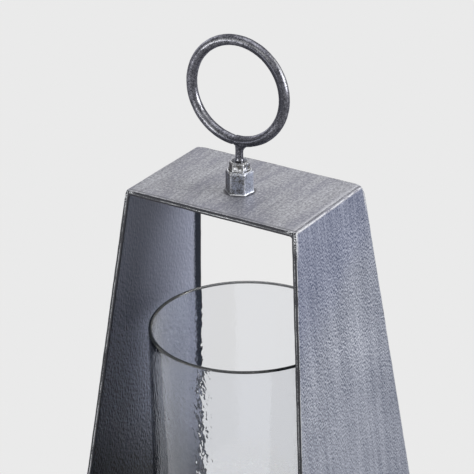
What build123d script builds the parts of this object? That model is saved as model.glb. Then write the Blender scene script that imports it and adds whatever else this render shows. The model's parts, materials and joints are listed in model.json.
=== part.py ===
from build123d import *
import math
import os

# Candle lantern: a tapered metal frame, open at the front and back, around a glass cylinder
# that lifts off its base, with a carry ring that turns on a stepped hexagonal boss.
# Millimetres, +Z up, front towards -Y. The origin is on the floor, under the middle of the base.

# Frame
top_width = 150.0        # across both panels at the top, outside
top_depth = 100.0        # front to back at the top
foot_width = 241.0       # across both panels at their lower edges, outside
foot_depth = 210.0       # front to back at the lower edges
panel_height = 425.0     # lower edge of the panels to the top face, upright
panel_sheet = 3.6        # sheet of the two side panels
top_sheet = 3.6          # plate between the panels at the top
base_sheet = 3.2         # plate between the panels at the foot
arris_radius = 1.4       # ground outer edge along the top of each panel
weld_leg = 2.5           # fillet weld inside each corner
weld_hollow = 0.3        # how far the bead's face is drawn from its chord towards the corner

# Foot pads
pad_diameter = 18.0
pad_height = 3.0
pad_inset = 18.0         # pad's centre to the base plate's edges

# Glass and its lugs
glass_diameter = 153.0
glass_wall = 3.0
glass_height = 305.0
rim_flat = 0.8           # flat land between the fire-polished roundings of the glass's edges
lug_count = 4
lug_turn = 45.0          # first lug, round from +X
lug_width = 22.0
lug_height = 12.0
lug_sheet = 2.5
lug_corner = 4.0         # rounding of a lug's upper corners
lug_gap = 0.5            # glass to lug, all round

# Candle
candle_diameter = 75.0
candle_height = 90.0
candle_edge = 2.5        # rounding of the candle's upper edge
wick_diameter = 2.6
wick_showing = 9.0       # wick above the wax

# Carry ring on its swivel stem
handle_offset = 7.0      # the boss stands this far in front of the plate's middle
ring_radius = 39.6       # centre line of the ring's bar
ring_bar = 8.3           # diameter of the ring's bar
stem_diameter = 6.0
stem_showing = 11.9      # stem between the collar nut and the ring
stem_tail = 2.0          # stem below the lock nut
flare_diameter = 7.6     # stem's upper end, where it is welded to the ring
flare_height = 4.0
socket_flats = 19.0      # lower, larger hexagon
socket_height = 18.0
collar_flats = 14.0      # upper, smaller hexagon
collar_height = 6.8
lock_flats = 10.0
lock_height = 6.0
washer_diameter = 18.0
washer_sheet = 1.6
crown_inset = 0.4        # a nut's crown circle lies this far inside its flats
crown_angle = 30.0
hex_turn = 22.0          # a corner of each hexagon points this far round from +X
stem_play = 0.08         # stem to its bores in the socket nut and the top plate
washer_play = 0.3        # washer to the plate's underside
washer_slack = 0.2       # stem to the washer's hole

# Levels and slopes
foot_z = pad_height
floor_z = foot_z + base_sheet
top_z = foot_z + panel_height
under_z = top_z - top_sheet
width_slope = (foot_width - top_width) / 2 / panel_height
depth_slope = (foot_depth - top_depth) / 2 / panel_height
panel_across = panel_sheet * math.hypot(1, width_slope)
handle_y = -handle_offset
socket_top_z = top_z + socket_height
collar_top_z = socket_top_z + collar_height
ring_under_z = collar_top_z + stem_showing
bar_z = ring_under_z + ring_bar / 2
ring_z = bar_z + ring_radius
washer_z = under_z - washer_play - washer_sheet
lock_z = washer_z - lock_height
stem_end_z = lock_z - stem_tail
bore_diameter = stem_diameter + 2 * stem_play


def outer_x(z):
    """Half the frame's width at a level, to the panels' outer faces."""
    return top_width / 2 + width_slope * (top_z - z)


def inner_x(z):
    """Half the width at a level, to the panels' inner faces."""
    return outer_x(z) - panel_across


def edge_y(z):
    """Half the frame's depth at a level."""
    return top_depth / 2 + depth_slope * (top_z - z)


def between_panels(z_low, z_high):
    """Outline (x, z) of a plate that fits between the leaning panels."""
    return Polyline(
        (-inner_x(z_low), z_low),
        (inner_x(z_low), z_low),
        (inner_x(z_high), z_high),
        (-inner_x(z_high), z_high),
        close=True,
    )


def folded_to_taper(outline):
    """Extrude an (x, z) outline front to back and trim it to the frame's tapering depth."""
    slab = extrude(Plane.XZ * make_face(outline), amount=foot_depth, both=True)
    side_view = Polyline(
        (-edge_y(foot_z), foot_z),
        (edge_y(foot_z), foot_z),
        (edge_y(top_z), top_z),
        (-edge_y(top_z), top_z),
        close=True,
    )
    return slab & extrude(Plane.YZ * make_face(side_view), amount=foot_width, both=True)


def side_panel():
    """Right panel: a leaning sheet, deeper at the foot, with a ground outer top edge."""
    outline = Polyline(
        (outer_x(foot_z), foot_z),
        (outer_x(top_z), top_z),
        (inner_x(top_z), top_z),
        (inner_x(foot_z), foot_z),
        close=True,
    )
    panel = folded_to_taper(outline)
    top_edges = panel.edges().filter_by(Axis.Y).group_by(Axis.Z)[-1]
    return fillet(top_edges.sort_by(Axis.X)[-1], arris_radius)


def corner_weld(plate_z, toward):
    """Concave bead between a plate's face and the right panel, on the side that toward (+1 or -1) gives."""
    corner = Vector(inner_x(plate_z), plate_z)
    on_plate = Vector(inner_x(plate_z) - weld_leg, plate_z)
    panel_z = plate_z + toward * weld_leg
    on_panel = Vector(inner_x(panel_z), panel_z)
    chord_middle = (on_plate + on_panel) / 2
    deepest = chord_middle + (corner - chord_middle) * weld_hollow
    outline = Polyline(on_panel, corner, on_plate) + ThreePointArc(on_plate, deepest, on_panel)
    return folded_to_taper(outline)


def upright_bore(diameter, z_low, z_high):
    """Cylinder on the handle's axis, to cut a bore or to stand as a pin."""
    height = z_high - z_low
    return Pos(0, handle_y, z_low + height / 2) * Cylinder(diameter / 2, height)


def hex_nut(across_flats, height):
    """Hexagonal block standing on z = 0, its upper corners turned off to a crown."""
    flat = across_flats / 2
    corner = across_flats / math.sqrt(3)
    crown = flat - crown_inset
    bevel = (corner - crown) * math.tan(math.radians(crown_angle))
    hexagon = RegularPolygon(flat, 6, major_radius=False, rotation=hex_turn)
    turned = Polyline((0, 0), (corner, 0), (corner, height - bevel), (crown, height), (0, height), close=True)
    return extrude(hexagon, amount=height) & revolve(Plane.XZ * make_face(turned), Axis.Z)


# Frame pieces
right_panel = side_panel()
upper_right_weld = corner_weld(under_z, -1)
lower_right_weld = corner_weld(floor_z, 1)
left_panel = mirror(right_panel, Plane.YZ)
upper_left_weld = mirror(upper_right_weld, Plane.YZ)
lower_left_weld = mirror(lower_right_weld, Plane.YZ)
top_plate = folded_to_taper(between_panels(under_z, top_z)) - upright_bore(bore_diameter, under_z, top_z)
base_plate = folded_to_taper(between_panels(foot_z, floor_z))

pad_x = inner_x(foot_z) - pad_inset
pad_y = edge_y(floor_z) - pad_inset
pad_row = [Pos(sx * pad_x, sy * pad_y, pad_height / 2) for sx in (-1, 1) for sy in (-1, 1)]
foot_pads = Compound([place * Cylinder(pad_diameter / 2, pad_height) for place in pad_row])

# Glass, and the lugs that keep it in the middle of the base
glass_radius = glass_diameter / 2
glass_mid_z = floor_z + glass_height / 2
tube = Cylinder(glass_radius, glass_height) - Cylinder(glass_radius - glass_wall, glass_height)
rim_radius = (glass_wall - rim_flat) / 2
glass_cylinder = Pos(0, 0, glass_mid_z) * fillet(tube.edges().filter_by(GeomType.CIRCLE), rim_radius)

lug_blank = Box(lug_sheet, lug_width, lug_height)
lug_tops = lug_blank.edges().filter_by(Axis.X).group_by(Axis.Z)[-1]
lug = Pos(glass_radius + lug_gap + lug_sheet / 2, 0, floor_z + lug_height / 2) * fillet(lug_tops, lug_corner)
lug_step = 360 / lug_count
glass_lugs = Compound([Rot(0, 0, lug_turn + k * lug_step) * lug for k in range(lug_count)])

# Candle and wick
wick_height = candle_height + wick_showing
wax = Cylinder(candle_diameter / 2, candle_height)
wax_top = wax.edges().filter_by(GeomType.CIRCLE).sort_by(Axis.Z)[-1]
wax = fillet(wax_top, candle_edge) - Cylinder(wick_diameter / 2, candle_height)
candle = Pos(0, 0, floor_z + candle_height / 2) * wax
wick = Pos(0, 0, floor_z + wick_height / 2) * Cylinder(wick_diameter / 2, wick_height)

# Carry ring, its stem, and the nuts and washer on the stem
carry_ring = Pos(0, handle_y, ring_z) * Rot(90, 0, 0) * Torus(ring_radius, ring_bar / 2)

stem_side = Polyline(
    (0, bar_z),
    (0, stem_end_z),
    (stem_diameter / 2, stem_end_z),
    (stem_diameter / 2, ring_under_z - flare_height),
)
flare_z = ring_under_z + (ring_bar - math.sqrt(ring_bar ** 2 - flare_diameter ** 2)) / 2
flare = TangentArc(stem_side @ 1, (flare_diameter / 2, flare_z), tangent=(0, 1))
stem_head = Polyline(flare @ 1, (flare_diameter / 2, bar_z), (0, bar_z))
stem_blank = revolve(Plane.XZ * make_face(stem_side + flare + stem_head), Axis.Z)
swivel_stem = Pos(0, handle_y, 0) * stem_blank - carry_ring

socket_nut = Pos(0, handle_y, top_z) * hex_nut(socket_flats, socket_height)
socket_nut -= upright_bore(bore_diameter, top_z, socket_top_z)
collar_nut = Pos(0, handle_y, socket_top_z) * hex_nut(collar_flats, collar_height)
collar_nut -= upright_bore(stem_diameter, socket_top_z, collar_top_z)
stem_washer = upright_bore(washer_diameter, washer_z, washer_z + washer_sheet)
stem_washer -= upright_bore(stem_diameter + 2 * washer_slack, washer_z, washer_z + washer_sheet)
lock_nut = Pos(0, handle_y, washer_z) * Rot(180, 0, 0) * hex_nut(lock_flats, lock_height)
lock_nut -= upright_bore(stem_diameter, lock_z, washer_z)

nodes = {
    "top_plate": top_plate,
    "left_panel": left_panel,
    "right_panel": right_panel,
    "base_plate": base_plate,
    "upper_left_weld": upper_left_weld,
    "upper_right_weld": upper_right_weld,
    "lower_left_weld": lower_left_weld,
    "lower_right_weld": lower_right_weld,
    "foot_pads": foot_pads,
    "glass_lugs": glass_lugs,
    "socket_nut": socket_nut,
    "glass_cylinder": glass_cylinder,
    "candle": candle,
    "wick": wick,
    "carry_ring": carry_ring,
    "swivel_stem": swivel_stem,
    "collar_nut": collar_nut,
    "stem_washer": stem_washer,
    "lock_nut": lock_nut,
}

os.makedirs("parts", exist_ok=True)
for name, shape in nodes.items():
    export_step(shape, f"parts/{name}.step")
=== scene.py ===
"""Candle lantern: the fine shape and the finish of every piece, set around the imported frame.

Metres, +Z up, front towards -Y. Every piece takes its place from the frame's nodes.
"""
import json
import math

import bmesh
import bpy
import numpy as np
from mathutils import Matrix, Vector


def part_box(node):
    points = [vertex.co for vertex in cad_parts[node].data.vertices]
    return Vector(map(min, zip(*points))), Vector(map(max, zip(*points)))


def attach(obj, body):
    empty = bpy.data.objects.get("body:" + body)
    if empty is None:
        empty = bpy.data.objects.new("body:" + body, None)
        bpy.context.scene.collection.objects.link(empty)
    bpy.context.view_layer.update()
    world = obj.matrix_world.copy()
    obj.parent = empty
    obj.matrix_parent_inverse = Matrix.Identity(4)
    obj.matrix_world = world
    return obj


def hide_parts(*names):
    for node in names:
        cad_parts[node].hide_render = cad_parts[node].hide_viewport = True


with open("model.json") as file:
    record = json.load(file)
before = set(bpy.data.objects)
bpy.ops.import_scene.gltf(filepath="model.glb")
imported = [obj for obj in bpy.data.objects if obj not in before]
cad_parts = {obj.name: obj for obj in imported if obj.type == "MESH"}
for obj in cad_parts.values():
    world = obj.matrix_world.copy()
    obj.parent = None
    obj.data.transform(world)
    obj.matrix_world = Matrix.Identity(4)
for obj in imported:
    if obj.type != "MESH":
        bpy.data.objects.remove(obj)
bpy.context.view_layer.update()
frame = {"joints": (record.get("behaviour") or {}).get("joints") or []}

MM = 0.001

# Camera, as the photograph was taken: degrees, metres, and pixels of its frame
PHOTO_PIXELS = 474
CAMERA_TURN = 32.785
CAMERA_RISE = 25.544
CAMERA_ROLL = -0.743
CAMERA_REACH = 1.59506
FOCAL_PIXELS = 2088.3
AIM_RIGHT = -6.318 * MM
AIM_BELOW_TOP = 41.32 * MM
SENSOR_MM = 36.0

# Sizes that the node boxes don't give
TOP_X = 75 * MM
TOP_Y = 50 * MM
PANEL_SHEET = 3.6 * MM
GLASS_WALL = 3.0 * MM
STEM_RADIUS = 3.0 * MM
SOCKET_FLATS = 19 * MM
COLLAR_FLATS = 14 * MM
LOCK_FLATS = 10 * MM
HEX_TURN = math.radians(22)
WELD_LEG = 2.5 * MM

# Levels and slopes of the tapered frame, from its nodes
top_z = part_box("top_plate")[1].z
under_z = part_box("top_plate")[0].z
foot_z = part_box("right_panel")[0].z
floor_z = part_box("base_plate")[1].z
foot_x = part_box("right_panel")[1].x
foot_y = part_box("right_panel")[1].y
width_slope = (foot_x - TOP_X) / (top_z - foot_z)
depth_slope = (foot_y - TOP_Y) / (top_z - foot_z)
panel_across = PANEL_SHEET * math.hypot(1, width_slope)
swivel = next(joint for joint in frame["joints"] if joint["name"] == "handle_swivel")
handle_y = swivel["pos_m"][1]
boss_foot = (0, handle_y, top_z)
glass_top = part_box("glass_cylinder")[1].z


def outer_x(z):
    """Half the frame's width at a level, to the panels' outer faces."""
    return TOP_X + width_slope * (top_z - z)


def inner_x(z):
    """Half the width at a level, to the panels' inner faces."""
    return outer_x(z) - panel_across


def edge_y(z):
    """Half the frame's depth at a level."""
    return TOP_Y + depth_slope * (top_z - z)


# Shader expressions

def joined(operation, swapped=False):
    """A method that adds one Math node of a value and another, the other one first if swapped."""
    def method(value, other=None):
        first, second = (other, value) if swapped else (value, other)
        return value.paint.node("Math", {0: first, 1: second}, operation=operation)
    return method


class Value:
    """A shader socket in an expression: each operator adds one Math node."""

    def __init__(self, paint, socket):
        self.paint = paint
        self.socket = socket

    __add__ = __radd__ = joined("ADD")
    __mul__ = __rmul__ = joined("MULTIPLY")
    __sub__ = joined("SUBTRACT")
    __rsub__ = joined("SUBTRACT", True)
    __abs__ = joined("ABSOLUTE")
    at_most = joined("MINIMUM")
    at_least = joined("MAXIMUM")


class Paint:
    """One node tree, of a material or of the world."""

    def __init__(self, owner):
        owner.use_nodes = True
        self.owner = owner
        self.tree = owner.node_tree
        self.tree.nodes.clear()

    def node(self, kind, inputs=None, output=0, **settings):
        """Add a shader node: its settings first, then each input's value or link. Gives one output."""
        made = self.tree.nodes.new("ShaderNode" + kind)
        for key, setting in settings.items():
            setattr(made, key, setting)
        for key, given in (inputs or {}).items():
            socket = made.inputs[key]
            if isinstance(given, Value):
                self.tree.links.new(given.socket, socket)
            elif given is not None:
                socket.default_value = (*given, 1) if socket.type == "RGBA" else given
        return Value(self, made.outputs[output])

    def place(self, stretch=(1, 1, 1), shift=(0, 0, 0)):
        """Object coordinates, stretched along the object's axes and then shifted."""
        point = self.node("TexCoord", output="Object")
        return self.node("VectorMath", {0: point, 1: stretch, 2: shift}, operation="MULTIPLY_ADD")

    def axis(self, name):
        """One of the object coordinates, in metres."""
        return self.node("SeparateXYZ", {0: self.place()}, name)

    def noise(self, size, detail=2.0, rough=0.5, stretch=(1, 1, 1), warp=0.0, shift=(0, 0, 0)):
        """Noise whose marks are about size metres across."""
        spots = {"Vector": self.place(stretch, shift), "Scale": 1 / size, "Detail": detail}
        spots.update({"Roughness": rough, "Distortion": warp})
        return self.node("TexNoise", spots)

    def mask(self, value, low, high):
        """0 below low, 1 above high, smooth between them."""
        span = {"Value": value, "From Min": low, "From Max": high}
        return self.node("MapRange", span, interpolation_type="SMOOTHSTEP")

    def below(self, value, low, high):
        """1 below low, 0 above high, smooth between them."""
        return 1 - self.mask(value, low, high)

    def mix(self, factor, first, second):
        """Blend of two colours."""
        return self.node("Mix", {0: factor, 6: first, 7: second}, 2, data_type="RGBA")

    def dim(self, colour, value):
        """A colour times a value."""
        return self.node("VectorMath", {0: colour, "Scale": value}, operation="SCALE")

    def attribute(self, name):
        """A float attribute of the piece's own mesh."""
        return self.node("Attribute", output="Fac", attribute_name=name)

    def bump(self, height, depth):
        """Normal of a surface that rises by depth metres as height goes from 0 to 1."""
        return self.node("Bump", {"Height": height, "Distance": depth})

    def principled(self, look):
        """Principled shader; the look's names have underscores for spaces."""
        named = {key.replace("_", " "): given for key, given in look.items()}
        return self.node("BsdfPrincipled", named)

    def coat(self, **look):
        """Material whose surface is one principled shader."""
        return self.surface(self.principled(look))

    def surface(self, shader, inside=None):
        """Send a shader, and what fills the piece if anything does, to the material's output."""
        output = self.tree.nodes.new("ShaderNodeOutputMaterial")
        self.tree.links.new(shader.socket, output.inputs["Surface"])
        if inside is not None:
            self.tree.links.new(inside.socket, output.inputs["Volume"])
        return self.owner


def new_paint(name):
    """A new material with an empty node tree."""
    return Paint(bpy.data.materials.new(name))


# Finishes

def hammered_zinc():
    """Hammered coat on the panels' outsides: blue-grey, each mark painted pale on its upper flank and
    dark below, as painted relief shading.

    Upright brush bands run down it. It is painted darker and bluer towards the top as painted shade,
    where strokes show and the front and back corners are speckled; it is painted darker towards the back
    edge as painted shade, and paler along the front and back edges.
    """
    paint = new_paint("hammered_zinc")
    hammer = (1.25 * MM, 0.4, 0.5, (1, 1, 0.75), 0.9)
    marks = paint.noise(*hammer)
    above = paint.noise(*hammer, (0, 0.3 * MM, 0.85 * MM))
    strokes = paint.noise(2.2 * MM, 2.0, 0.6, (0, 1, 0.06))
    bands = paint.noise(7 * MM, 2.0, 0.5, (0, 1, 0.03))
    clouds = paint.noise(36 * MM)
    beads = paint.noise(0.9 * MM, 0.0)
    across, level = paint.axis("Y"), paint.axis("Z")
    # painted shade: darker and bluer towards the top, reaching lower towards the front
    upper = paint.mask(level + (clouds - 0.5) * 0.06 - across * 0.5, top_z - 0.1, top_z - 0.03)
    near_top = paint.mask(level, top_z - 40 * MM, top_z)
    gap = edge_y(level) - abs(across)
    pale = paint.below(gap, 0.8 * MM, 2.4 * MM) * 0.3
    painted_relief = (paint.mask(level, 0.2, 0.34) + 1.55) * (1 - near_top * 0.4) * (clouds * 0.8 + 0.6)
    tone = 1 + (bands - 0.5) * 0.8 + (clouds - 0.5) * 0.6 + (strokes - 0.5) * (near_top * 1.4 + 0.6)
    # painted shade: darker towards the back edge
    tone = tone - paint.mask(across, 25 * MM, 75 * MM) * 0.18
    # painted relief shading: each mark pale on its upper side and dark on its lower side, as if lit from
    # above
    tone = tone + pale + (marks - above) * painted_relief
    darkest, span = 0.2, 1.8
    dark = paint.mix(upper, (0.030, 0.040, 0.074), (0.015, 0.026, 0.072))
    bright = paint.mix(upper, (0.403, 0.420, 0.479), (0.289, 0.307, 0.384))
    colour = paint.mix((tone - darkest) * (1 / span), dark, bright)
    corner = paint.mask(level, top_z - 24 * MM, top_z - 14 * MM)
    corner = corner * paint.below(gap, 2.2 * MM, 3.8 * MM)
    speckled = corner * (paint.mask(beads, 0.4, 0.56) * 0.5 + 0.25)
    return paint.coat(
        Base_Color=paint.mix(speckled, colour, (0.5, 0.505, 0.52)),
        Metallic=0.25,
        Roughness=0.55 - marks * 0.1,
        Normal=paint.bump(marks, 0.2 * MM),
    )


def brushed_zinc():
    """Flat coat rubbed front to back: small blotches, broad clouds and faint strokes, painted lighter
    towards the right and a little darker at the front as painted light.

    A dark broken seam shows beside each panel. On the right only, a pale line beside the seam and the
    panel's arris are painted bright, as painted highlight as well as rubbing.
    The front edge has a bright broken lip painted as a highlight, painted shade just behind the edge and
    a painted dark line behind that, and a painted shadow rings the boss's foot.
    """
    paint = new_paint("brushed_zinc")
    blotches = paint.noise(1.35 * MM, 1.0, 0.5, (1, 0.6, 1), warp=0.6)
    strokes = paint.noise(3.0 * MM, 2.0, 0.6, (1, 0.05, 1))
    clouds = paint.noise(16 * MM, 2.0, 0.5, (1, 0.3, 1))
    broken = paint.noise(9 * MM, 3.0, 0.6)
    mottled = blotches * 0.5 + broken * 0.5
    right, ahead = paint.axis("X"), paint.axis("Y")
    on_right = paint.mask(right, 0.0, 0.05)
    height = blotches * 0.7 + strokes * 0.3
    front = paint.below(ahead, -TOP_Y, -0.3 * TOP_Y)
    # painted light: lighter towards the right and a little darker at the front, on top of random clouds
    shade = (clouds - 0.5) * 0.3 + right * 0.25 - front * 0.015 + 0.018
    rubbed = paint.mask(height + shade, 0.22, 0.78)
    tint = paint.mix(paint.mask(clouds, 0.35, 0.65), (0.196, 0.197, 0.24), (0.204, 0.204, 0.231))
    colour = paint.mix(rubbed * rubbed, tint, (0.5, 0.505, 0.545))

    seam_at = inner_x(top_z) + 1.5 * MM
    beside = abs(abs(right) - seam_at - (broken - 0.5) * (0.6 * MM))
    seam = paint.below(beside, 0.15 * MM, 0.6 * MM) * paint.mask(broken, 0.36, 0.5)
    seam = seam * (on_right * 0.7 + 0.3)
    # painted highlight: a pale line beside the seam, on the right only
    lip = on_right * paint.below(abs(right - inner_x(top_z) + 0.7 * MM), 0.3 * MM, 1.8 * MM)
    colour = paint.mix(lip * 0.45, colour, (0.55, 0.555, 0.59))

    groove_at = 3.3 * MM
    behind = TOP_Y + ahead
    # painted shade: a little darker within a few millimetres of the front edge
    rim = paint.below(behind, 1 * MM, 4 * MM)
    # painted shade: a broken dark line behind the front edge
    beside = abs(behind - groove_at - (broken - 0.5) * (1.2 * MM))
    painted_groove_shade = paint.below(beside, 0.6 * MM, 1.5 * MM)
    painted_groove_shade = painted_groove_shade * paint.mask(blotches * 0.6 + broken * 0.4, 0.38, 0.52)
    # painted highlight along the front arris, broken as by rubbing
    painted_lip_highlight = paint.below(behind, 1.4 * MM, 2.2 * MM) * paint.mask(mottled, 0.4, 0.55)

    ends = {0: paint.place(), 1: boss_foot}
    from_boss = paint.node("VectorMath", ends, "Value", operation="DISTANCE")
    # painted shadow: a broken smudge round the boss and a dark ring at its foot
    painted_boss_shadow = paint.below(from_boss + (broken - 0.5) * (9 * MM), 9 * MM, 14 * MM) * 0.4
    painted_boss_shadow = painted_boss_shadow.at_least(paint.below(from_boss, 11.6 * MM, 13.2 * MM) * 0.85)
    # the dark seam, with the painted shade and painted shadow above, darkens the coat
    seam_and_painted_shade = (seam * 0.95).at_least(rim * 0.1).at_least(painted_groove_shade * 0.62).at_least(painted_boss_shadow)
    colour = paint.mix(seam_and_painted_shade, colour, (0.06, 0.06, 0.072))

    # the right arris is painted bright and broken: rubbing as well as painted highlight, on the right
    # only
    arris = paint.below(abs(paint.attribute("across") + 0.72), 0.04, 0.2)
    worn = arris * on_right * paint.mask(mottled, 0.4, 0.5)
    return paint.coat(
        Base_Color=paint.mix((worn * 0.8).at_least(painted_lip_highlight * 0.6), colour, (0.66, 0.67, 0.7)),
        Metallic=0.4,
        Roughness=0.48 - rubbed * 0.1,
        Normal=paint.bump(height, 0.12 * MM),
    )


def dark_enamel(name, painted_light):
    """Glossy blue-grey paint with an orange-peel skin, each bump painted pale on one side and dark on
    the other: painted relief shading.

    With painted light, as inside the panels, a painted light gradient runs from dark at the foot's front
    to pale at the upper back, and painted dark bands of shade run along the back edge, which is duller
    there, and along the front edge.
    """
    paint = new_paint(name)
    orange_peel = (1.6 * MM, 0.5, 0.4, (1, 1, 0.6), 0.5)
    peel = paint.noise(*orange_peel)
    beside = paint.noise(*orange_peel, (0, 1.1 * MM, 0.3 * MM))
    clouds = paint.noise(60 * MM)
    colour = paint.mix(paint.mask(clouds, 0.3, 0.7), (0.09, 0.095, 0.115), (0.12, 0.126, 0.15))
    dull_painted_dark_band, painted_relief, skin = 0.0, 1.2, peel
    if painted_light:
        across, level = paint.axis("Y"), paint.axis("Z")
        # painted light: dark towards the foot's front, pale towards the upper back
        painted_gradient = paint.mask(level + across * 1.6 + (clouds - 0.5) * 0.05, 0.01, 0.37)
        painted_gradient = painted_gradient * paint.mask(level + (across - 0.035).at_least(0) * 1.3, 0.11, 0.22)
        gap = edge_y(level) - across
        # painted shade: a dark band along the back edge, which is duller there too
        dull_painted_dark_band = paint.below(gap + (peel - 0.5) * (3 * MM), 9 * MM, 14 * MM)
        # painted shade: dark along the front edge
        ahead = paint.below(edge_y(level) + across, 1.2 * MM, 2.8 * MM)
        colour = paint.mix(painted_gradient, (0.006, 0.0082, 0.0132), (0.264, 0.281, 0.36))
        colour = paint.mix(dull_painted_dark_band.at_least(ahead * 0.8), colour, (0.016, 0.019, 0.028))
        painted_relief = 3.8 - painted_gradient * 3.2
        skin = peel * (1.1 - painted_gradient * 0.6)
    return paint.coat(
        # painted relief shading: the peel minus the same peel shifted sideways, stronger where the
        # painted light is dark
        Base_Color=paint.dim(colour, (1 + (peel - beside) * painted_relief).at_least(0.2)),
        Roughness=0.28 + dull_painted_dark_band * 0.5,
        Specular_IOR_Level=0.06,
        Normal=paint.bump(skin, 0.35 * MM),
    )


def cut_edge():
    """Dark sheared edge, rubbed pale along its middle and speckled bright at the upper corners; a broken
    bright line is painted as a highlight along the right panel's outer arris.
    """
    paint = new_paint("cut_edge")
    across = paint.attribute("across")
    runs = paint.noise(5 * MM, 2.0, 0.55, (0.3, 1, 0.3))
    grit = paint.noise(0.8 * MM, 2.0, 0.6)
    beads = paint.noise(0.9 * MM, 0.0)
    level, right = paint.axis("Z"), paint.axis("X")
    near_top = paint.mask(level, top_z - 18 * MM, top_z - 4 * MM)
    corner = near_top * paint.mask(abs(right), TOP_X - 11 * MM, TOP_X - 4 * MM)
    line = paint.below(abs(across + (grit - 0.5) * 0.3), 0.03, 0.22)
    arris = paint.below(abs(across + 0.92), 0.05, 0.22) * paint.mask(right, 70 * MM, 72 * MM)
    scraped = paint.below(level, 0.18, 0.38) * paint.below(right, -0.02, 0.0) * 0.5 + 0.55
    middle = paint.below(abs(right), 15 * MM, 55 * MM)
    scraped = scraped + paint.mask(level, top_z - 8 * MM, top_z - 5 * MM) * (middle * 0.7 - 0.25)
    rubbed = (line * paint.mask(runs * 0.5 + grit * 0.5, 0.4, 0.58) * scraped).at_most(1)
    # painted highlight: a broken bright line along the right panel's outer arris
    painted_arris_highlight = arris * paint.mask(runs * 0.6 + grit * 0.4, 0.38, 0.5)
    speckled = corner * paint.mask(beads, 0.44, 0.56) * paint.below(across, -0.3, 0.3)
    worn = rubbed.at_least(painted_arris_highlight * 0.8).at_least(speckled)
    return paint.coat(
        Base_Color=paint.mix(worn, (0.026, 0.027, 0.033), (0.5, 0.51, 0.53)),
        Metallic=0.5,
        Roughness=0.5 - worn * 0.14,
        Normal=paint.bump(grit * 0.6 + beads * 0.4, 0.16 * MM),
    )


def rubbed_pewter(name, dark, silver, spread, shine):
    """Dark pitted metal, its high flecks rubbed bright.

    The mesh says which edges are rubbed to bare metal and where highlights are painted bright, and how
    pale each face is painted: painted light and shade.
    """
    paint = new_paint(name)
    pits = paint.noise(1.3 * MM, 2.0, 0.6, warp=0.5)
    grit = paint.noise(0.5 * MM, 1.0)
    patches = paint.noise(9 * MM)
    height = pits * 0.7 + grit * 0.3
    wear_and_highlight = paint.attribute("worn")
    # bright where the mesh marks rubbing and painted highlights
    flecked = wear_and_highlight * paint.mask(height * 0.7 + patches * 0.3, 0.38, 0.52)
    worn = flecked.at_least(paint.mask(wear_and_highlight, 1.0, 1.3))
    # the mesh's pale attribute adds painted light and shade
    rub_and_painted_light = height + (patches - 0.5) * 0.3 + paint.attribute("pale") * 0.36
    rubbed = paint.mask(rub_and_painted_light, spread - 0.16, spread + 0.22)
    colour = paint.mix(worn, paint.mix(rubbed, dark, silver), (0.72, 0.73, 0.75))
    return paint.coat(
        Base_Color=colour,
        Metallic=0.8,
        Roughness=shine + pits * 0.08,
        Specular_Tint=(0.45, 0.45, 0.5),
        Normal=paint.bump(height, 0.08 * MM),
    )


def glass_surface(paint, **look):
    """Glass that lets the lamps' light pass and is darker where it is seen edge on."""
    clear = paint.node("BsdfTransparent", {"Color": (0.9, 0.91, 0.91)})
    from_lamp = paint.node("LightPath", output="Is Shadow Ray")
    shaders = {0: from_lamp, 1: paint.principled(look), 2: clear}
    inside = paint.node("VolumeAbsorption", {"Color": (0.4, 0.44, 0.5), "Density": 36.0})
    return paint.surface(paint.node("MixShader", shaders), inside)


def rippled_glass():
    """Clear glass with a few seeds and a hammered skin, which is calm near the rim; it is painted a
    little darker towards the bottom as painted shade.
    """
    paint = new_paint("rippled_glass")
    ripple = paint.noise(3.4 * MM, 1.0, 0.4, (1, 1, 0.8))
    level = paint.axis("Z")
    reach = level + paint.mask(paint.axis("Y"), -30 * MM, 0.0) * (9 * MM)
    calm = paint.mask(reach, glass_top - 5 * MM, glass_top + 5 * MM)
    cells = {"Vector": paint.place(), "Scale": 1 / (17 * MM)}
    seed = paint.below(paint.node("TexVoronoi", cells), 0.02, 0.05)
    # painted shade: the glass a little darker towards the bottom
    tint = paint.mix(paint.below(level, 0.16, 0.32), (0.962, 0.967, 0.983), (0.946, 0.953, 0.972))
    return glass_surface(
        paint,
        Base_Color=tint,
        Roughness=0.0,
        IOR=1.5,
        Transmission_Weight=1.0,
        Specular_Tint=(0.8, 0.84, 0.93),
        Normal=paint.bump(ripple * (1 - calm) + seed * 0.6, 0.13 * MM),
    )


def rim_glass():
    """Cut and fire-polished rim: grey glass painted dark as a painted reflection of dark surroundings,
    paler towards the back.
    """
    paint = new_paint("rim_glass")
    waves = paint.noise(6 * MM, 1.0)
    # painted reflection: the rim darkened, paler towards the back
    far = paint.mask(paint.axis("Y"), 0.0, 60 * MM)
    painted_dark_rim = paint.mix(waves, (0.1, 0.11, 0.115), (0.16, 0.17, 0.18))
    return glass_surface(
        paint,
        Base_Color=paint.mix(far, painted_dark_rim, (0.4, 0.41, 0.42)),
        Roughness=0.12,
        IOR=1.5,
        Transmission_Weight=0.6,
    )


def ivory_wax():
    """Poured wax: soft light inside, faint mottling and a slightly uneven skin."""
    paint = new_paint("ivory_wax")
    mottle = paint.noise(9 * MM, 3.0, 0.6)
    skin = paint.noise(2.4 * MM)
    colour = paint.mix(paint.mask(mottle, 0.3, 0.7), (0.8, 0.72, 0.56), (0.86, 0.79, 0.65))
    return paint.coat(
        Base_Color=colour,
        Roughness=0.42 + mottle * 0.16,
        Subsurface_Weight=0.3,
        Subsurface_Radius=(0.006, 0.004, 0.002),
        Subsurface_Scale=1.0,
        Normal=paint.bump(skin, 0.06 * MM),
    )


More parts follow.
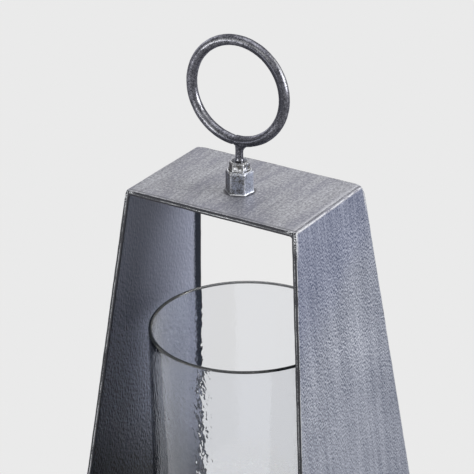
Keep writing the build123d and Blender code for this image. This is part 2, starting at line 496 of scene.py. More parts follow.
def cotton_wick():
    """Waxed cotton braid, charred towards its tip."""
    paint = new_paint("cotton_wick")
    fibre = paint.noise(0.4 * MM, 2.0, 0.5, (1, 1, 0.25))
    cotton = paint.mix(fibre, (0.5, 0.45, 0.36), (0.76, 0.71, 0.6))
    colour = paint.mix(paint.attribute("char"), cotton, (0.02, 0.018, 0.016))
    return paint.coat(Base_Color=colour, Roughness=0.85, Normal=paint.bump(fibre, 0.1 * MM))


def black_rubber():
    """Matt moulded rubber."""
    paint = new_paint("black_rubber")
    grain = paint.noise(0.6 * MM)
    colour = paint.mix(grain, (0.022, 0.022, 0.024), (0.045, 0.045, 0.048))
    skin = paint.bump(grain, 0.05 * MM)
    return paint.coat(Base_Color=colour, Roughness=0.7 + grain * 0.15, Normal=skin)


# Surfaces

def wander(points, wavelength, seed, waves=28):
    """Smooth random field, about -1 to 1: a sum of sine waves of like length in random directions."""
    draw = np.random.default_rng(seed)
    heading = draw.normal(size=(3, waves))
    heading /= np.linalg.norm(heading, axis=0)
    heading *= 2 * np.pi / (wavelength * draw.uniform(0.75, 1.35, waves))
    phase = draw.uniform(0, 2 * np.pi, waves)
    return np.sin(points @ heading + phase).sum(-1) / math.sqrt(2 * waves)


def roughen(points, wavelength, depth, seed):
    """Move points a little every way, by a smooth random field for each axis."""
    drift = [wander(points, wavelength, seed + axis) for axis in range(3)]
    return points + depth * np.stack(drift, -1)


def unit(vectors):
    """Vectors divided by their lengths."""
    return vectors / np.linalg.norm(vectors, axis=-1, keepdims=True)


def xyz(x, y, z):
    """Points from coordinates that are spread over one grid."""
    return np.stack(np.broadcast_arrays(x, y, z), -1)


def round_angles(count):
    """Even angles once round."""
    return np.linspace(0, 2 * np.pi, count, endpoint=False)


def spun(points, angle, centre=(0, 0, 0)):
    """Points turned by an angle about an upright axis."""
    cos, sin = math.cos(angle), math.sin(angle)
    return (points - np.array(centre)) @ np.array([(cos, sin, 0), (-sin, cos, 0), (0, 0, 1)]) + centre


def border(grid):
    """The points round a grid's outline, each once."""
    return np.concatenate([grid[0, :-1], grid[:-1, -1], grid[-1, :0:-1], grid[:0:-1, 0]])


def with_ends(rows):
    """Rows of a tube's points, and at each end a row drawn together to the middle, which closes it."""
    first, last = (np.broadcast_to(rows[k].mean(0), rows[:1].shape) for k in (0, -1))
    return np.concatenate([first, rows, last])


def quads(rows, columns, start, wrap_rows, wrap_columns):
    """Corner numbers of the quads of a grid of points, joined round where a way wraps."""
    index = start + np.arange(rows * columns).reshape(rows, columns)
    if wrap_columns:
        index = np.concatenate([index, index[:, :1]], 1)
    if wrap_rows:
        index = np.concatenate([index, index[:1]], 0)
    corners = [index[:-1, :-1], index[:-1, 1:], index[1:, 1:], index[1:, :-1]]
    return np.stack(corners, -1).reshape(-1, 4)


def patch(points, material=0, wrap=(False, False), **attributes):
    """A grid of points with its finish and its float attributes, one value for each point."""
    return {"points": points, "material": material, "wrap": wrap, "attributes": attributes}


def tube(points, material=0, closed=False, **attributes):
    """A patch whose rows run once round; its last row meets its first if it is closed."""
    return patch(points, material, (closed, True), **attributes)


def mesh_of(name, patches):
    """One mesh of all the patches' quads, with their finishes and float attributes."""
    points = np.concatenate([p["points"].reshape(-1, 3) for p in patches])
    shapes = [p["points"].shape[:2] for p in patches]
    starts = np.cumsum([0] + [rows * columns for rows, columns in shapes])
    grids = [quads(*shape, start, *p["wrap"]) for p, shape, start in zip(patches, shapes, starts)]
    faces = np.concatenate(grids)
    finish_of = np.repeat([p["material"] for p in patches], [len(grid) for grid in grids])
    mesh = bpy.data.meshes.new(name)
    mesh.vertices.add(len(points))
    mesh.vertices.foreach_set("co", points.astype(np.float32).ravel())
    mesh.loops.add(faces.size)
    mesh.loops.foreach_set("vertex_index", faces.astype(np.int32).ravel())
    mesh.polygons.add(len(faces))
    mesh.polygons.foreach_set("loop_start", np.arange(0, faces.size, 4, dtype=np.int32))
    mesh.polygons.foreach_set("material_index", finish_of.astype(np.int32))
    for key in sorted({key for p in patches for key in p["attributes"]}):
        given = [p["attributes"].get(key, 0.0) for p in patches]
        values = [np.broadcast_to(value, shape).ravel() for value, shape in zip(given, shapes)]
        layer = mesh.attributes.new(key, "FLOAT", "POINT")
        layer.data.foreach_set("value", np.concatenate(values).astype(np.float32))
    mesh.update(calc_edges=True)
    return mesh


def new_object(name, contents):
    """New object in the scene, of a mesh, a lamp or a camera."""
    made = bpy.data.objects.new(name, contents)
    bpy.context.scene.collection.objects.link(made)
    return made


def build(name, patches, finishes, body, sharp=50):
    """Make one closed piece of patches, stand it for the node of its name, riding on its body."""
    mesh = mesh_of(name, patches)
    close_up(mesh)
    mesh.polygons.foreach_set("use_smooth", np.ones(len(mesh.polygons), bool))
    mesh.set_sharp_from_angle(angle=math.radians(sharp))
    for finish in finishes:
        mesh.materials.append(finish)
    piece = new_object(name, mesh)
    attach(piece, body)
    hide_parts(name)


def close_up(mesh):
    """Merge the points that patches share, drop what has no area, and turn the faces outwards."""
    work = bmesh.new()
    work.from_mesh(mesh)
    bmesh.ops.remove_doubles(work, verts=work.verts, dist=1e-6)
    bmesh.ops.dissolve_degenerate(work, edges=work.edges, dist=1e-7)
    bmesh.ops.recalc_face_normals(work, faces=work.faces)
    work.to_mesh(mesh)
    work.free()


def blend_corners(corners, u, v):
    """Bilinear blend of four corners."""
    a, b, c, d = corners
    u, v = u[..., None], v[..., None]
    return (1 - u) * (1 - v) * a + u * (1 - v) * b + u * v * c + (1 - u) * v * d


def drawn_in(corners, rounding):
    """Corners moved inwards along both their edges, each by the rounding of the side it leaves."""
    ahead = unit(np.roll(corners, -1, 0) - corners)
    behind = unit(np.roll(corners, 1, 0) - corners)
    return corners + np.roll(rounding, 1)[:, None] * ahead + rounding[:, None] * behind


def slab(outer, inner, cell, outer_round, inner_round, side_finish=(2, 2, 2, 2)):
    """Plate with rounded edges, as six patches: outer face, inner face and the four sides.

    A face is the bilinear blend of its corners, drawn in by the sides' roundings. A side runs from
    one face to the other along a quarter curve, the cut edge and a quarter curve.
    """
    outer, inner = np.array(outer), np.array(inner)
    outer_round, inner_round = np.array(outer_round), np.array(inner_round)
    lengths = np.linalg.norm(np.roll(outer, -1, 0) - outer, axis=1)
    columns = max(3, round(max(lengths[0], lengths[2]) / cell))
    rows = max(3, round(max(lengths[1], lengths[3]) / cell))
    u, v = np.meshgrid(np.linspace(0, 1, columns), np.linspace(0, 1, rows))
    outer_face = blend_corners(drawn_in(outer, outer_round), u, v)
    inner_face = blend_corners(drawn_in(inner, inner_round), u, v)
    counts = [columns - 1, rows - 1, columns - 1, rows - 1]
    starts = np.cumsum([0] + counts)

    def along_border(rounding):
        """The roundings at each point of the outline, the mean of two at a corner."""
        spread = np.repeat(rounding, counts)
        spread[starts[:-1]] = (rounding + np.roll(rounding, 1)) / 2
        return spread[:, None]

    def quarter(face, arris, land):
        """Quadratic curve from a face to the cut edge, drawn towards the arris."""
        bend = np.linspace(0, 1, 4)[:, None, None]
        return (1 - bend) ** 2 * face + 2 * bend * (1 - bend) * arris + bend ** 2 * land

    outer_arris = blend_corners(outer, border(u), border(v))
    inner_arris = blend_corners(inner, border(u), border(v))
    through = unit(inner_arris - outer_arris)
    outer_land = outer_arris + along_border(outer_round) * through
    inner_land = inner_arris - along_border(inner_round) * through
    land = outer_land + np.linspace(0, 1, 5)[1:-1, None, None] * (inner_land - outer_land)
    out = quarter(border(outer_face), outer_arris, outer_land)
    back = quarter(border(inner_face), inner_arris, inner_land)[::-1]
    band = np.concatenate([out, land, back])
    band = np.concatenate([band, band[:, :1]], 1)
    across = np.linspace(-1, 1, len(band))[:, None]
    made = [patch(outer_face, 0, across=-1.0), patch(inner_face, 1, across=1.0)]
    for first, last, finish in zip(starts[:-1], starts[1:], side_finish):
        made.append(patch(band[:, first:last + 1], finish, across=across))
    return made


def lathe(radius, height, turns, centre=(0, 0)):
    """Grid of a profile, given by its radii and heights, turned about an upright axis."""
    angle = round_angles(turns)
    radius, height = np.array(radius)[:, None], np.array(height)[:, None]
    return xyz(centre[0] + radius * np.cos(angle), centre[1] + radius * np.sin(angle), height)


# Frame pieces

PANEL_CELL = 2.0 * MM
# How far hand work moves a face, and how ragged a cut edge is
HAND_WORK = 0.1 * MM
RAGGED = 0.16 * MM
# Roundings: of most edges, beside a seam, along the panels' top, and inside at their back and front
EASED = 0.9 * MM
SEAM = 0.35 * MM
ARRIS = 1.4 * MM
BACK_ROUND = 2.4 * MM
FRONT_ROUND = 0.4 * MM
# Ground upper corners: depth and reach of the cut at the back and front, and how it fades inwards
BACK_GRIND, BACK_REACH = 3.5 * MM, 8 * MM
FRONT_GRIND, FRONT_REACH = 1.6 * MM, 4.5 * MM
GRIND_FADE = 14 * MM

panel_finish = hammered_zinc()
plate_finish = brushed_zinc()
panel_enamel = dark_enamel("dark_enamel_panel", True)
enamel = dark_enamel("dark_enamel", False)
edge_finish = cut_edge()
pewter = rubbed_pewter("rubbed_pewter_ring", (0.045, 0.046, 0.056), (0.215, 0.216, 0.246), 0.5, 0.24)
worn_pewter = rubbed_pewter("rubbed_pewter_boss", (0.09, 0.086, 0.078), (0.4, 0.435, 0.53), 0.64, 0.34)


def ground_corners(points):
    """Round the frame's four upper corners off.

    The cut falls as the square of the distance from the panel's upper arris, and points move
    inwards by it, less and less away from the front and back edges.
    """
    x, y, z = np.moveaxis(points, -1, 0)
    beside = np.hypot(np.abs(x) - TOP_X, z - top_z)
    grind = np.where(y > 0, BACK_GRIND, FRONT_GRIND)
    reach = np.where(y > 0, BACK_REACH, FRONT_REACH)
    cut = grind * np.clip(1 - beside / reach, 0, 1) ** 2
    inside = np.clip((edge_y(z) - np.abs(y)) / GRIND_FADE, 0, 1)
    return xyz(x, y - np.sign(y) * cut * (1 - inside), z)


def hand_made(made, seed):
    """Give patches the slight unevenness of hand work, and their cut edges a ragged line.

    Points near the front and back edges move inwards by a sum of a long and a short random field.
    """
    for p in made:
        points = ground_corners(p["points"])
        gap = edge_y(points[..., 2]) - np.abs(points[..., 1])
        edge = 1 - np.clip(gap / (4 * MM), 0, 1)
        field = wander(points, 11 * MM, seed + 5) + 0.5 * wander(points, 4 * MM, seed + 6)
        ragged = RAGGED * edge * (field + 1.4)
        points = points - np.sign(points) * ragged[..., None] * (0, 1, 0)
        p["points"] = roughen(points, 45 * MM, HAND_WORK, seed)
    return made


def side_panel(name, side, seed):
    """Leaning panel, deeper at the foot; side is +1 for the right one and -1 for the left."""
    rim = [(foot_z, -1), (foot_z, 1), (top_z, 1), (top_z, -1)]
    outer = [(side * outer_x(z), way * edge_y(z), z) for z, way in rim]
    inner = [(side * inner_x(z), way * edge_y(z), z) for z, way in rim]
    outer_round = (EASED, EASED, ARRIS, EASED)
    inner_round = (EASED, BACK_ROUND, SEAM, FRONT_ROUND)
    made = slab(outer, inner, PANEL_CELL, outer_round, inner_round, (2, 2, 3, 2))
    finishes = [panel_finish, panel_enamel, edge_finish, plate_finish]
    build(name, hand_made(made, seed), finishes, "frame")


def level_plate(name, z_top, z_under, upper, seed):
    """Plate between the panels, its ends leaning with them and meeting them at a fine seam."""
    ways = [(-1, -1), (1, -1), (1, 1), (-1, 1)]
    outer = [(x * inner_x(z_top), y * edge_y(z_top), z_top) for x, y in ways]
    inner = [(x * inner_x(z_under), y * edge_y(z_under), z_under) for x, y in ways]
    rounding = (EASED, SEAM, EASED, SEAM)
    made = slab(outer, inner, PANEL_CELL, rounding, rounding, (2, 0, 2, 0))
    build(name, hand_made(made, seed), [upper, enamel, edge_finish], "frame")


side_panel("right_panel", 1, 11)
side_panel("left_panel", -1, 21)
level_plate("top_plate", top_z, under_z, plate_finish, 31)
level_plate("base_plate", floor_z, foot_z, enamel, 41)


# Handle

def hex_radius(angle, flats, softness):
    """Radius of a hexagon with softened corners: a smooth least of the six flats' distances."""
    faces = HEX_TURN + np.pi / 6 + np.arange(6) * np.pi / 3
    facing = np.maximum(np.cos(angle[..., None] - faces), 0.05)
    return -softness * np.log(np.exp(-flats / 2 / facing / softness).sum(-1))


NUT_GAP = 0.06 * MM
NUT_EASE = 0.35 * MM
CROWN_INSET = 0.4 * MM
CROWN_ANGLE = math.radians(30)
FOOT_LINE = 0.7 * MM
# Rows of a nut's section: at its foot, at the crown's two rims, and on top
FOOT_ROWS = slice(2, 5)
RIM_ROWS = [-9, -5, -4]
TOP_ROWS = slice(-4, None)
# Solder drops on the collar: degrees round the nut, height and size in millimetres
SOLDER_DROPS = (
    (279, 2.6, 1.3),
    (290, 1.9, 0.8),
    (307, 1.8, 0.8),
    (329, 2.0, 0.7),
    (341, 2.5, 0.4),
)
DROP_HEIGHT = 0.4 * MM
# How pale each of a nut's six faces is painted, as painted light: paler on faces towards the lamp,
# darker on shaded ones;
# the tone of its top; and how bright the faces' feet are, rubbed bare and on the front face a painted
# highlight
SOCKET_PAINTED_LIGHT = np.array((0.5, 0.55, 0.4, 0.12, 0.4, 0.65))
COLLAR_PAINTED_LIGHT = np.array((0.4, 0.45, 0.3, -0.4, 0.05, 0.2))
TOP_TONE = 0.22
FOOT_WEAR_AND_HIGHLIGHT = np.array((0.6, 0.6, 0.6, 0.3, 1.35, 0.45))


def nut_rows(height, flats, hexagon, foot_flare):
    """Levels and radii of a nut's rows: underside, side, crown, top and the hole's rim.

    The foot flares out and dies away as an exponential. The crown is a cone that cuts the corners.
    """
    corner = flats / math.sqrt(3)
    crown = flats / 2 - CROWN_INSET
    bevel = (corner - crown) * math.tan(CROWN_ANGLE)
    side_z = np.linspace(2 * FOOT_LINE, height - bevel - NUT_EASE, 13)
    side_z = np.append((NUT_EASE, FOOT_LINE), side_z)
    flare = foot_flare * np.exp(-side_z / (0.9 * MM))
    crown_z = np.linspace(height - bevel, height - 0.1 * MM, 5)
    cone = np.linspace(corner, crown, 5)
    hole = np.full_like(hexagon, STEM_RADIUS - 0.05 * MM)
    top = np.minimum(hexagon, crown)
    rows = [(0.0, hole), (0.0, hexagon - 2.0 * MM), (0.0, hexagon - NUT_EASE + foot_flare)]
    rows += [(z, hexagon + more) for z, more in zip(side_z, flare)]
    rows += [(z, np.minimum(hexagon - 0.06 * MM, limit)) for z, limit in zip(crown_z, cone)]
    rows += [(height, top - NUT_EASE), (height, top - 2 * NUT_EASE)]
    rows += [(height, hole + 1.2 * MM), (height, hole)]
    levels, radii = zip(*rows)
    return np.array(levels)[:, None], np.array(radii)


def hex_piece(
    name, flats, body, seed, painted_face_light=SOCKET_PAINTED_LIGHT, foot_flare=0.0, foot_wear_and_highlight=1.0, drops=(), crown_up=True
):
    """Hexagonal nut: a softened hexagon carried up its height, with a turned crown and a hole.

    Two random fields pit its outside. Each of the six faces is painted to its own tone, as painted
    light: paler towards the lamp, darker on the shaded side. A solder drop is a dome on the side, which
    falls off as a bell curve of the distance.
    """
    low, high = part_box(name)
    height = high.z - low.z
    angle = round_angles(144)
    hexagon = hex_radius(angle, flats, 0.12 * MM)
    level, radius = nut_rows(height, flats, hexagon, foot_flare)
    level = NUT_GAP + level * (1 - NUT_GAP / height)
    z = low.z + (level if crown_up else height - level)
    points = xyz(radius * np.cos(angle), handle_y + radius * np.sin(angle), z)
    away = xyz(np.cos(angle), np.sin(angle), 0)
    dents = 0.1 * MM * wander(points, 4.5 * MM, seed) + 0.05 * MM * wander(points, 1.7 * MM, seed + 1)
    dents = np.abs(dents) * (radius > STEM_RADIUS + 2 * MM)
    pitted = points - dents[..., None] * away
    near_corner = np.clip((hexagon - flats / math.sqrt(3) + 0.75 * MM) / (0.5 * MM), 0, 1)
    face = np.floor((angle - HEX_TURN) / (np.pi / 3)).astype(int) % 6
    rims = np.zeros((len(radius), 1))
    rims[RIM_ROWS] = 1
    worn = np.maximum(rims, 0.4 * near_corner) * (radius > STEM_RADIUS + 1.45 * MM)
    # feet rubbed bare, and on the front face painted bright as a highlight
    worn[FOOT_ROWS] = foot_wear_and_highlight * FOOT_WEAR_AND_HIGHLIGHT[face]
    for clock, rise, size in drops:
        along = (angle - math.radians(clock) + np.pi) % (2 * np.pi) - np.pi
        over = points[..., 2] - low.z - rise * MM
        dome = np.exp(-((along * flats / 2) ** 2 + over ** 2) / (size * MM) ** 2)
        pitted += (DROP_HEIGHT * dome)[..., None] * away
        worn = np.maximum(worn, 1.6 * dome)
    # painted light: each face's tone, paler on faces towards the lamp
    pale = np.tile(painted_face_light[face], (len(radius), 1))
    pale[TOP_ROWS] = TOP_TONE
    build(name, [tube(pitted, 0, True, worn=worn, pale=pale)], [worn_pewter], body, 40)


# The ring's lean to the left, its turn on the stem, and how far and which way it is out of round
RING_LEAN = math.radians(0.9)
RING_TURN = math.radians(2.2)
OVAL_DEPTH, OVAL_TURN, OVAL_SHARE = 0.25 * MM, math.radians(110), 0.4
# Where the bar's end meets the stem: its place, the crease's depth and half width, the end's taper
CREASE_X, CREASE_DEPTH, CREASE_WIDTH = -3.4 * MM, 0.9 * MM, 0.55 * MM
TAPER_DEPTH, TAPER_RUN = 0.35 * MM, 6 * MM
# Lines along the ring, in degrees: clock, half the span, place round the bar, the place's drift with
# the clock, half width; and the line's strength. The first group is painted highlight, the second
# painted shade
PAINTED_HIGHLIGHT_LINES = (
    (4, 54, -67, 0.28, 7, 0.55),
    (58, 22, -4, 0.0, 9, 0.8),
    (222, 30, -112, 0.0, 7, 0.5),
    (238, 20, -155, 0.0, 7, 0.6),
)
PAINTED_SHADE_LINES = ((62, 56, -98, 0.0, 26, -0.8), (172, 40, -100, 0.0, 24, -0.7))


def ring_lines(lines, turn, round_bar):
    """Sum of lines on the ring: each is full over half its span, then fades; a bell curve across."""
    total = 0.0
    for clock, span, place, drift, width, strength in lines:
        along = (360 - turn - clock) % 360 - 180
        beside = (round_bar - place - drift * along + 180) % 360 - 180
        full = np.clip(2 - 2 * np.abs(along) / span, 0, 1)
        total = total + strength * full * np.exp(-(beside / width) ** 2)
    return total


def carry_ring():
    """Bar bent to a circle: a torus, very slightly oval, turned on its stem and leaning a little.

    The oval is a cosine of twice the turn. The bar is creased, as a bell curve, where its end meets
    the stem's left side, tapers towards that end, and is thinned by two random fields.
    """
    low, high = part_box("carry_ring")
    bar = (high.y - low.y) / 2
    middle = (low + high) / 2
    radius = (high.z - low.z) / 2 - bar
    turn = np.linspace(-np.pi, np.pi, 320, endpoint=False)[:, None]
    round_bar = round_angles(36)[None, :]
    run = turn * radius - CREASE_X
    crease = CREASE_DEPTH * np.exp(-(run / CREASE_WIDTH) ** 2)
    tapered_end = TAPER_DEPTH * np.exp(-np.maximum(-run, 0) / TAPER_RUN) * (run < 0)
    out = xyz(np.sin(turn), 0, -np.cos(turn))
    section = np.cos(round_bar)[..., None] * out + np.sin(round_bar)[..., None] * (0, 1, 0)
    oval = OVAL_DEPTH * (np.cos(2 * turn - OVAL_TURN) + OVAL_SHARE)
    line = np.array(middle) + (radius - oval)[..., None] * out
    smooth = line + bar * section
    uneven = 0.09 * MM * wander(smooth, 13 * MM, 51) + 0.05 * MM * wander(smooth, 3 * MM, 52)
    thick = bar - crease - tapered_end - np.abs(uneven)
    points = spun(line + thick[..., None] * section, RING_TURN, (0, middle.y, 0))
    rise = points[..., 2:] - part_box("collar_nut")[1].z
    points = points - rise * math.tan(RING_LEAN) * (1, 0, 0)
    # painted highlights, and painted shade, along the bar
    worn = np.clip(ring_lines(PAINTED_HIGHLIGHT_LINES, np.degrees(turn), np.degrees(round_bar)), 0, 1)
    pale = ring_lines(PAINTED_SHADE_LINES, np.degrees(turn), np.degrees(round_bar))
    made = [tube(points, 0, True, worn=worn, pale=pale)]
    build("carry_ring", made, [pewter], "handle", 60)


THREAD_PITCH, THREAD_DEPTH = 1.0 * MM, 0.35 * MM
BEAD_HEIGHT, BEAD_AT = 0.4 * MM, 0.9 * MM
# Where the stem's flare and the web on its right begin below the ring, and how far they reach
FLARE_DROP, FLARE_RIGHT, FLARE_LEFT = 3.6 * MM, 4.2 * MM, 0.6 * MM
WEB_DROP, WEB_REACH = 5.2 * MM, 2.8 * MM


def swivel_stem():
    """Turned pin: threaded tail, plain neck, and a flare that runs into the ring's bar on the right.

    The thread is a triangle wave that winds up the tail, and the bead on the neck a bell curve. The
    flare is a quarter ellipse, with a web on its right that grows as the square of the height.
    """
    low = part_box("swivel_stem")[0]
    ring_low, ring_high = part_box("carry_ring")
    bar = (ring_high.y - ring_low.y) / 2
    neck_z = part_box("collar_nut")[1].z
    nut_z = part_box("lock_nut")[1].z
    bar_z = ring_low.z + bar
    flare_z = ring_low.z - FLARE_DROP
    web_z = ring_low.z - WEB_DROP
    tail = np.linspace(low.z, nut_z, 60)
    neck = np.linspace(nut_z, neck_z, 8)[1:]
    head = np.linspace(neck_z, bar_z, 44)[1:]
    z = np.concatenate([tail, neck, head])[:, None]
    angle = round_angles(48)[None, :]
    cos, sin = np.cos(angle), np.sin(angle)
    winding = ((z - low.z) / THREAD_PITCH - angle / (2 * np.pi)) % 1.0
    thread = THREAD_DEPTH * np.abs(2 * winding - 1) * (z < nut_z)
    bead = BEAD_HEIGHT * np.exp(-((z - neck_z - BEAD_AT) / BEAD_AT) ** 2) * (z > neck_z - 0.2 * MM)
    right, left = np.maximum(cos, 0) ** 2, np.maximum(-cos, 0) ** 2
    rise = np.clip((z - flare_z) / (bar_z - flare_z), 0, 0.995)
    reach = (bar - STEM_RADIUS - 0.25 * MM) + FLARE_RIGHT * right + FLARE_LEFT * left
    web = np.clip((z - web_z) / (WEB_DROP + 0.5 * MM), 0, 1) ** 2
    flare = reach * (1 - np.sqrt(1 - rise ** 2)) + WEB_REACH * right * web
    skin = xyz(STEM_RADIUS * cos, STEM_RADIUS * sin, z)
    radius = STEM_RADIUS - thread + bead + flare - 0.08 * MM * np.abs(wander(skin, 4 * MM, 61))
    within = bar - 0.3 * MM
    whole = with_ends(xyz(radius * cos, handle_y + np.clip(radius * sin, -within, within), z))
    drops = np.clip(3 * wander(whole, 2.6 * MM, 63) - 0.5, 0, 1)
    worn = drops * np.clip(1.5 - np.abs(whole[..., 2] - neck_z - 1.2 * MM) / (1.2 * MM), 0, 1)
    build("swivel_stem", [tube(whole, worn=worn)], [pewter], "handle", 60)


def stem_washer():
    """Flat washer: a section with cut corners, turned round the stem."""
    low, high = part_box("stem_washer")
    outer = (high.x - low.x) / 2
    hole = STEM_RADIUS + 0.2 * MM
    ease = 0.3 * MM
    under = [(hole, low.z + ease), (hole + ease, low.z), (outer - ease, low.z), (outer, low.z + ease)]
    over = [(outer, high.z - ease), (outer - ease, high.z), (hole + ease, high.z), (hole, high.z - ease)]
    made = [tube(lathe(*zip(*under, *over), 64, (0, handle_y)), 0, True)]
    build("stem_washer", made, [pewter], "handle", 40)


hex_piece("socket_nut", SOCKET_FLATS, "frame", 71, foot_flare=0.7 * MM)
hex_piece("collar_nut", COLLAR_FLATS, "handle", 81, COLLAR_PAINTED_LIGHT, 0.6 * MM, 0.5, SOLDER_DROPS)
hex_piece("lock_nut", LOCK_FLATS, "handle", 91, crown_up=False)
carry_ring()
swivel_stem()
stem_washer()


# Glass

def glass_cylinder():
    """Open cylinder: the rows run up the rippled outside, over the rim, down the inside and under.

    Two random fields dent the outside, one of them drawn out upright; they fade out below the rim.
    """
    low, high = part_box("glass_cylinder")
    outer, inner = high.x, high.x - GLASS_WALL
    middle, bend = (outer + inner) / 2, GLASS_WALL / 2
    up = np.linspace(low.z + bend, high.z - bend, 226)
    down = np.linspace(high.z - bend, low.z + bend, 26)
    arc = np.linspace(0, np.pi, 9)[1:-1]
    cos, sin = bend * np.cos(arc), bend * np.sin(arc)
    radius = np.concatenate([outer + 0 * up, middle + cos, inner + 0 * down, middle - cos])
    height = np.concatenate([up, up[-1] + sin, down, up[0] - sin])
    points = lathe(radius, height, 320)
    rows = np.arange(points.shape[0])[:, None]
    fade = np.clip((high.z - bend - points[..., 2]) / (9 * MM), 0, 1) * (rows < len(up))
    hammered = wander(points, 5.0 * MM, 101, 40)
    drawn = wander(points * (1, 1, 0.25), 8 * MM, 102, 40)
    dent = fade * (0.015 * MM * (1.5 + hammered) + 0.022 * MM * (1.5 + drawn))
    points = points - dent[..., None] * unit(points * (1, 1, 0))
    rim, wall = len(up), len(up) + len(arc)
    made = [tube(points[:rim]), tube(points[rim - 1:wall + 1], 1)]
    made.append(tube(np.concatenate([points[wall:], points[:1]])))
    finishes = [rippled_glass(), rim_glass()]
    build("glass_cylinder", made, finishes, "glass", 80)


glass_cylinder()


# Candle

def candle():
    """Pillar: a turned profile with a rounded rim and a shallow dished top, slightly out of round."""
    low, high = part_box("candle")
    radius, height = high.x, high.z - low.z
    rim, foot = 2.6 * MM, 0.6 * MM
    arc = np.linspace(0, np.pi / 2, 7)[1:]
    side = np.linspace(foot, height - rim, 24)
    dish = np.linspace(radius - rim, 0, 16)[1:]
    dish_depth = 2.2 * MM * np.clip(1 - (dish / (radius - 2 * rim)) ** 2, 0, 1)
    out = np.concatenate([[0, radius - foot], radius + 0 * side, radius - rim + rim * np.cos(arc), dish])
    up = np.concatenate([[0, 0], side, height - rim + rim * np.sin(arc), height - dish_depth])
    points = lathe(out, low.z + up, 112)
    dent = 0.25 * MM * (1 + wander(points, 34 * MM, 111)) * (points[..., 2] > low.z + 0.3 * MM)
    points = points - dent[..., None] * unit(points * (1, 1, 0) + (1e-9, 0, 0))
    build("candle", [tube(points)], [ivory_wax()], "candle_set", 60)


def wick():
    """Three-strand braid: a lobed section that twists as it climbs and leans over at its tip."""
    low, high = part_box("wick")
    wax_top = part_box("candle")[1].z
    height = np.linspace(low.z, high.z, 150)[:, None]
    angle = round_angles(24)[None, :]
    showing = np.clip((height - wax_top) / (high.z - wax_top), 0, 1)
    lobes = 1 - 0.16 * (1 - np.abs(np.cos(1.5 * (angle - height / (1.6 * MM)))))
    thick = high.x * lobes * (1 - 0.35 * showing ** 3)
    lean = 1.6 * MM * showing ** 2
    whole = with_ends(xyz(lean + thick * np.cos(angle), thick * np.sin(angle), height))
    char = np.clip((showing - 0.35) / 0.4, 0, 1)
    made = [tube(whole, char=np.concatenate([char[:1], char, char[-1:]]))]
    build("wick", made, [cotton_wick()], "candle_set", 60)


candle()
wick()


# Small frame pieces

def corner_weld(name, side, plate_z, toward, seed):
    """Bead in an inside corner: a hollow-faced triangle carried front to back, smaller at its ends.

    Its face is a quadratic curve, rippled along the run by the size of a sine.
    """
    reach = edge_y(plate_z) - 0.6 * MM
    run = np.linspace(-reach, reach, 220)[:, None]
    full = np.clip((reach - np.abs(run)) / (11 * MM), 0, 1)
    size = 0.55 + 0.45 * full * full * (3 - 2 * full)
    panel_z = plate_z + toward * WELD_LEG
    corner = np.array([inner_x(plate_z), plate_z])
    on_plate = corner - (WELD_LEG, 0)
    on_panel = np.array([inner_x(panel_z), panel_z])
    share = np.linspace(0, 1, 9)[:, None]
    hollow = 0.55 * corner + 0.45 * (on_plate + on_panel) / 2
    face = (1 - share) ** 2 * on_plate + 2 * share * (1 - share) * hollow + share ** 2 * on_panel
    outline = np.concatenate([face, corner[None]]) - corner
    ripple = 0.22 * MM * np.abs(np.sin(np.pi * run / (2.1 * MM) + np.sin(run / (9 * MM))))
    towards = unit(np.array([-0.7, 0.7 * toward]))
    proud = np.concatenate([np.sin(np.pi * share[:, 0]), [0.0]])
    x = corner[0] + size * (outline[None, :, 0] + ripple * proud * towards[0])
    z = corner[1] + size * (outline[None, :, 1] + ripple * proud * towards[1])
    whole = roughen(with_ends(xyz(side * x, run, z)), 5 * MM, 0.06 * MM, seed)
    build(name, [tube(whole)], [enamel], "frame", 60)


for seed, (word, side) in enumerate((("left", -1), ("right", 1))):
    corner_weld(f"upper_{word}_weld", side, under_z, -1, 121 + seed)
    corner_weld(f"lower_{word}_weld", side, floor_z, 1, 131 + seed)


def foot_pads():
    """Four moulded pads: one turned profile with rounded edges, set under the base's corners."""
    low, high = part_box("foot_pads")
    radius, taper, ease, lip = 9 * MM, 0.4 * MM, 0.7 * MM, 0.2 * MM
    rows = [(0, 0), (radius - taper - ease, 0), (radius - taper, ease)]
    rows += [(radius, high.z - lip), (radius - lip, high.z), (0, high.z)]
    sides, ends = (low.x + radius, high.x - radius), (low.y + radius, high.y - radius)
    made = [tube(lathe(*zip(*rows), 48, (x, y))) for x in sides for y in ends]
    build("foot_pads", made, [black_rubber()], "frame", 40)


LUG_WIDTH, LUG_HEIGHT, LUG_SHEET, LUG_CORNER = 22 * MM, 12 * MM, 2.5 * MM, 4 * MM
LUG_GAP, LUG_EASE = 0.5 * MM, 0.45 * MM
LUG_TURNS = (45, 135, 225, 315)


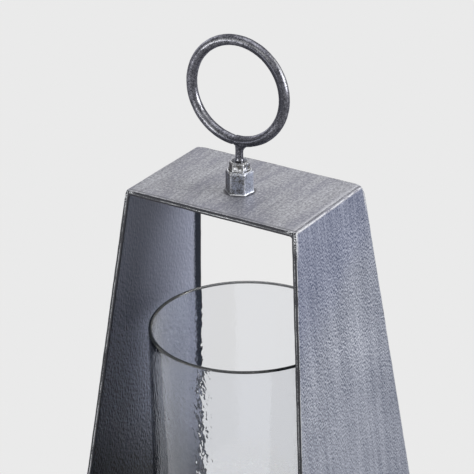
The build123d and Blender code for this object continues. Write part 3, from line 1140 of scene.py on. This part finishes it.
def glass_lugs():
    """Four upright tabs, square to the glass: a straight crest with a quarter circle at each end.

    A tab has four layers from its inside to its outside, and the outer two are drawn in all round.
    """
    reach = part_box("glass_cylinder")[1].x + LUG_GAP
    across = np.linspace(-1, 1, 33) * LUG_WIDTH / 2
    beyond = np.maximum(np.abs(across) - (LUG_WIDTH / 2 - LUG_CORNER), 0)
    crest = LUG_HEIGHT - LUG_CORNER + np.sqrt(LUG_CORNER ** 2 - np.minimum(beyond, LUG_CORNER) ** 2)
    side, rise = np.broadcast_arrays(across, np.linspace(0, 1, 9)[:, None] * crest)
    layers = []
    for depth, inset in ((0, LUG_EASE), (LUG_EASE, 0), (LUG_SHEET - LUG_EASE, 0), (LUG_SHEET, LUG_EASE)):
        y = side * (1 - inset / (LUG_WIDTH / 2))
        z = floor_z + rise * (1 - inset / LUG_HEIGHT)
        layers.append(xyz(reach + depth, y, z))
    edges = np.stack([border(layer) for layer in layers])
    made = []
    for turn in np.radians(LUG_TURNS):
        made += [patch(spun(layers[0], turn)), patch(spun(layers[-1], turn))]
        made.append(tube(spun(edges, turn)))
    build("glass_lugs", made, [enamel], "frame", 40)


foot_pads()
glass_lugs()


# Stage

BACKGROUND = 0.823


def shown_ray(paint):
    """1 for rays that show the background: to the camera, in a reflection or through glass."""
    kinds = ("Is Camera Ray", "Is Glossy Ray", "Is Transmission Ray")
    camera, glossy, through = (paint.node("LightPath", output=kind) for kind in kinds)
    return camera.at_least(glossy).at_least(through)


def stage_floor():
    """Pale floor: even further off, and with the lantern's soft shadow close to it."""
    ends = (-12.0, 12.0)
    mesh = mesh_of("floor", [patch(xyz(*np.meshgrid(ends, ends), 0))])
    paint = new_paint("floor")
    away = paint.node("VectorMath", {0: paint.place()}, "Value", operation="LENGTH")
    even = 0.55 + 0.45 * paint.mask(away, 0.16, 0.3)
    matt = paint.node("BsdfDiffuse", {"Color": (0.6, 0.6, 0.6)})
    shown = paint.node("Emission", {"Color": (BACKGROUND,) * 3})
    mixed = paint.node("MixShader", {0: shown_ray(paint) * even, 1: matt, 2: shown})
    mesh.materials.append(paint.surface(mixed))
    floor = new_object("floor", mesh)


def studio_world(ambient):
    """Even pale surroundings; they light the lantern at the ambient level."""
    world = bpy.data.worlds.new("studio")
    bpy.context.scene.world = world
    paint = Paint(world)
    lit = paint.node("Background", {"Color": (0.96, 0.98, 1.0), "Strength": ambient})
    shown = paint.node("Background", {"Color": (1, 1, 1), "Strength": BACKGROUND})
    mixed = paint.node("MixShader", {0: shown_ray(paint), 1: lit, 2: shown})
    output = paint.tree.nodes.new("ShaderNodeOutputWorld")
    paint.tree.links.new(mixed.socket, output.inputs["Surface"])


def soft_box(name, place, aim, width, height, power):
    """Rectangular area lamp turned towards a point."""
    lamp = bpy.data.lights.new(name, "AREA")
    lamp.shape = "RECTANGLE"
    lamp.energy = power
    lamp.size = width
    lamp.size_y = height
    holder = new_object(name, lamp)
    holder.location = place
    holder.rotation_euler = (Vector(aim) - Vector(place)).to_track_quat("-Z", "Y").to_euler()


def photo_camera():
    """Camera from its turn, rise, roll and reach about a point just under the top plate."""
    turn, rise, roll = (math.radians(a) for a in (CAMERA_TURN, CAMERA_RISE, CAMERA_ROLL))
    axes = Matrix.Rotation(turn, 4, "Z") @ Matrix.Rotation(math.pi / 2 - rise, 4, "X")
    right, back = axes.col[0].to_3d(), axes.col[2].to_3d()
    aim = AIM_RIGHT * right + Vector((0, 0, top_z - AIM_BELOW_TOP))
    lens = bpy.data.cameras.new("camera")
    lens.sensor_width = SENSOR_MM
    lens.lens = FOCAL_PIXELS * SENSOR_MM / PHOTO_PIXELS
    holder = new_object("camera", lens)
    place = Matrix.Translation(aim + CAMERA_REACH * back)
    holder.matrix_world = place @ axes @ Matrix.Rotation(roll, 4, "Z")
    bpy.context.scene.camera = holder


stage_floor()
studio_world(0.13)
soft_box("key", (1.55, 0.42, 0.8), (0, 0, 0.3), 0.85, 0.85, 28)
soft_box("top", (0.1, 0.3, 2.1), (0, 0, 0.4), 1.5, 1.5, 20)
soft_box("front", (-0.5, -1.2, 0.35), (0, 0, 0.5), 1.0, 0.2, 5)
soft_box("fill", (-1.5, 0.5, 0.9), (0, 0, 0.25), 1.0, 1.0, 8)
photo_camera()
bpy.context.scene.view_settings.view_transform = "Standard"
